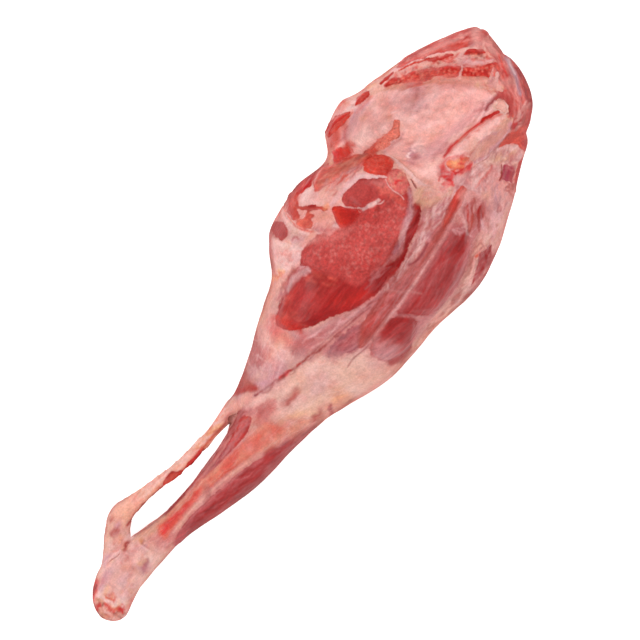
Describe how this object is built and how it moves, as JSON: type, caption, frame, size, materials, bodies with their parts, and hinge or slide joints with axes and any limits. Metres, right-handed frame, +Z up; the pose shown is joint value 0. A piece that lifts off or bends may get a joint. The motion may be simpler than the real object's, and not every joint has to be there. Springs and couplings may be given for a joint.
{
  "type": "raw leg of lamb",
  "caption": "Whole raw leg of lamb with the chump and shank on, lying on its outer side, trimmed of most outer fat, with an open gap between shin and heel tendon.",
  "frame": {"origin": "under the middle of the leg's length, on the surface that it lies on", "axes": "+X along the leg from the sawn hock towards the chump, +Y across it towards the heel side, +Z up out of the inner side"},
  "size_m": [0.5, 0.154, 0.0984],
  "materials": {
    "flesh": "raw muscle under a thin moist membrane, deep red where it is cut, pink-lilac where the membrane covers it, satin with a wet sheen",
    "fat": "cream to pinkish fat and connective tissue, soft satin",
    "bone": "sawn spongy bone, granular dark red with a pale rim, moist"
  },
  "bodies": {
    "root": {"leg_of_lamb": "flesh"}
  },
  "joints": []
}
